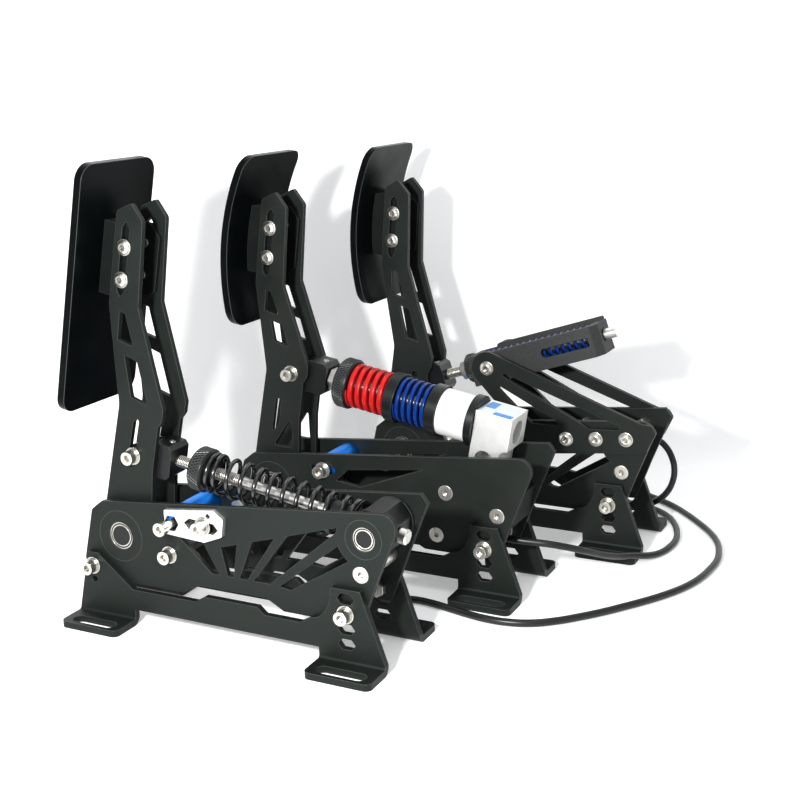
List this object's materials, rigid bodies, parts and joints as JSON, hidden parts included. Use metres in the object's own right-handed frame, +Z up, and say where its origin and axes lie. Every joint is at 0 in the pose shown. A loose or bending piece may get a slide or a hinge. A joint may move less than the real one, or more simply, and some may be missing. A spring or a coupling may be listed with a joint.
{
  "type": "sim racing pedal set",
  "caption": "Floor-standing sim racing pedal set: slotted bent feet, twin-plate arms with broad pads, sprung linkages, a load-cell brake and sensor leads.",
  "frame": {"origin": "on the floor, midway across the feet and midway from the throttle's front feet to the clutch's rear end", "axes": "+X to the driver's right, +Y away from the driver, +Z up"},
  "size_m": [0.4665, 0.4166, 0.3421],
  "materials": {
    "black_coated_steel": "matt black coating, fine grain",
    "zinc_steel": "bright, plain",
    "black_machined_metal": "satin black, turned or milled",
    "bare_aluminium": "fine satin",
    "blue_anodised": "satin blue anodised",
    "black_plastic": "matt moulded",
    "white_plastic": "smooth",
    "black_spring": "gloss black",
    "red_spring": "gloss red",
    "blue_spring": "gloss dark blue",
    "lead_jacket": "smooth"
  },
  "bodies": {
    "base": {"throttle_right_foot_bracket": "black_coated_steel", "throttle_left_foot_bracket": "black_coated_steel", "brake_right_foot_bracket": "black_coated_steel", "brake_left_foot_bracket": "black_coated_steel", "clutch_right_foot_bracket": "black_coated_steel", "clutch_left_foot_bracket": "black_coated_steel", "throttle_right_side_plate": "black_coated_steel", "throttle_left_side_plate": "black_coated_steel", "brake_right_side_plate": "black_coated_steel", "brake_left_side_plate": "black_coated_steel", "clutch_right_side_plate": "black_coated_steel", "clutch_left_side_plate": "black_coated_steel", "clutch_link_plates": "black_coated_steel", "brake_load_cell_mount": "black_coated_steel", "base_screws": "zinc_steel", "axle_bearings": "zinc_steel", "spreaders": "zinc_steel", "throttle_limit_plates": "bare_aluminium", "brake_load_cell": "bare_aluminium", "stop_rollers": "blue_anodised", "bearing_discs": "black_plastic", "angle_sensors": "black_plastic", "lead_plugs": "black_plastic", "throttle_lead": "lead_jacket", "brake_lead": "lead_jacket", "clutch_lead": "lead_jacket"},
    "throttle_arm": {"throttle_axle": "black_machined_metal", "throttle_arm_plates": "black_coated_steel", "throttle_pad_bracket": "black_coated_steel", "throttle_pad": "black_coated_steel", "throttle_arm_screws": "zinc_steel"},
    "throttle_rod": {"throttle_clevis": "black_machined_metal", "throttle_rod": "zinc_steel", "throttle_spring": "black_spring"},
    "throttle_knob": {"throttle_knob": "black_machined_metal"},
    "throttle_guide": {"throttle_rod_guide": "black_machined_metal"},
    "brake_arm": {"brake_axle": "black_machined_metal", "brake_arm_plates": "black_coated_steel", "brake_pad_bracket": "black_coated_steel", "brake_pad": "black_coated_steel", "brake_arm_screws": "zinc_steel"},
    "brake_rod": {"brake_clevis": "black_machined_metal", "brake_rod": "zinc_steel", "brake_lock_nut": "zinc_steel", "brake_red_spring": "red_spring"},
    "brake_knob": {"brake_knob": "black_machined_metal"},
    "brake_separator": {"brake_spring_separator": "black_machined_metal", "brake_blue_spring": "blue_spring"},
    "brake_seats": {"brake_spring_seats": "black_machined_metal", "brake_sleeve": "white_plastic"},
    "clutch_arm": {"clutch_axle": "black_machined_metal", "clutch_arm_plates": "black_coated_steel", "clutch_pad_bracket": "black_coated_steel", "clutch_pad": "black_coated_steel", "clutch_arm_screws": "zinc_steel"},
    "clutch_rod": {"clutch_clevis": "black_machined_metal", "clutch_rod": "zinc_steel"},
    "clutch_housing": {"clutch_spring_housing": "black_plastic", "clutch_spring": "blue_spring"},
    "clutch_knob": {"clutch_knob": "black_machined_metal"}
  },
  "joints": [
    {"name": "throttle_press", "type": "hinge", "parent": "base", "child": "throttle_arm", "pos_m": [0.139, -0.1438, 0.0663], "axis": [-1, 0, 0], "range_deg": [0, 24], "stiffness_Nm_per_rad": 12, "springref_deg": -20.05},
    {"name": "throttle_rod_turn", "type": "hinge", "parent": "throttle_arm", "child": "throttle_rod", "pos_m": [0.139, -0.13389, 0.12666], "axis": [-1, 0, 0], "range_deg": [-26.5, 0.5], "deforming": ["throttle_spring"]},
    {"name": "throttle_guide_turn", "type": "hinge", "parent": "base", "child": "throttle_guide", "pos_m": [0.139, 0.0594, 0.0929], "axis": [-1, 0, 0], "range_deg": [-2.5, 0.5]},
    {"name": "throttle_knob_turn", "type": "hinge", "parent": "throttle_rod", "child": "throttle_knob", "pos_m": [0.139, -0.13389, 0.12666], "axis": [0, 0.9851, -0.172], "continuous": true},
    {"name": "brake_press", "type": "hinge", "parent": "base", "child": "brake_arm", "pos_m": [-0.007, -0.1038, 0.0663], "axis": [-1, 0, 0], "range_deg": [0, 9], "stiffness_Nm_per_rad": 350, "springref_deg": -0.86},
    {"name": "brake_rod_turn", "type": "hinge", "parent": "brake_arm", "child": "brake_rod", "pos_m": [-0.007, -0.08521, 0.15958], "axis": [-1, 0, 0], "range_deg": [-10.5, 0.5]},
    {"name": "brake_separator_slide", "type": "slide", "parent": "brake_rod", "child": "brake_separator", "axis": [0, 0.9843, -0.1767], "range_m": [-0.009, 0.0002], "deforming": ["brake_red_spring"]},
    {"name": "brake_seats_slide", "type": "slide", "parent": "brake_rod", "child": "brake_seats", "axis": [0, 0.9843, -0.1767], "range_m": [-0.0155, 0.0002], "deforming": ["brake_blue_spring"]},
    {"name": "brake_knob_turn", "type": "hinge", "parent": "brake_rod", "child": "brake_knob", "pos_m": [-0.007, -0.08521, 0.15958], "axis": [0, 0.9843, -0.1767], "continuous": true},
    {"name": "clutch_press", "type": "hinge", "parent": "base", "child": "clutch_arm", "pos_m": [-0.139, -0.0478, 0.0663], "axis": [-1, 0, 0], "range_deg": [0, 17], "stiffness_Nm_per_rad": 35, "springref_deg": -14.32},
    {"name": "clutch_rod_turn", "type": "hinge", "parent": "clutch_arm", "child": "clutch_rod", "pos_m": [-0.139, -0.04039, 0.12238], "axis": [-1, 0, 0], "range_deg": [-25, 0.5]},
    {"name": "clutch_housing_turn", "type": "hinge", "parent": "base", "child": "clutch_housing", "pos_m": [-0.139, 0.036, 0.147], "axis": [-1, 0, 0], "range_deg": [-8, 0.5], "deforming": ["clutch_spring"]},
    {"name": "clutch_knob_turn", "type": "hinge", "parent": "clutch_housing", "child": "clutch_knob", "pos_m": [-0.139, -0.04039, 0.12238], "axis": [0, 0.9518, 0.3068], "continuous": true}
  ],
  "couplings": [
    {"joint": "throttle_rod_turn", "follows": "throttle_press", "ratio": -1.0569},
    {"joint": "throttle_guide_turn", "follows": "throttle_press", "ratio": -0.0569},
    {"joint": "brake_rod_turn", "follows": "brake_press", "ratio": -1.0538},
    {"joint": "brake_separator_slide", "follows": "brake_press", "m_per_rad": -0.0521},
    {"joint": "brake_seats_slide", "follows": "brake_press", "m_per_rad": -0.0946},
    {"joint": "clutch_rod_turn", "follows": "clutch_press", "ratio": -1.4405},
    {"joint": "clutch_housing_turn", "follows": "clutch_press", "ratio": -0.4405}
  ]
}
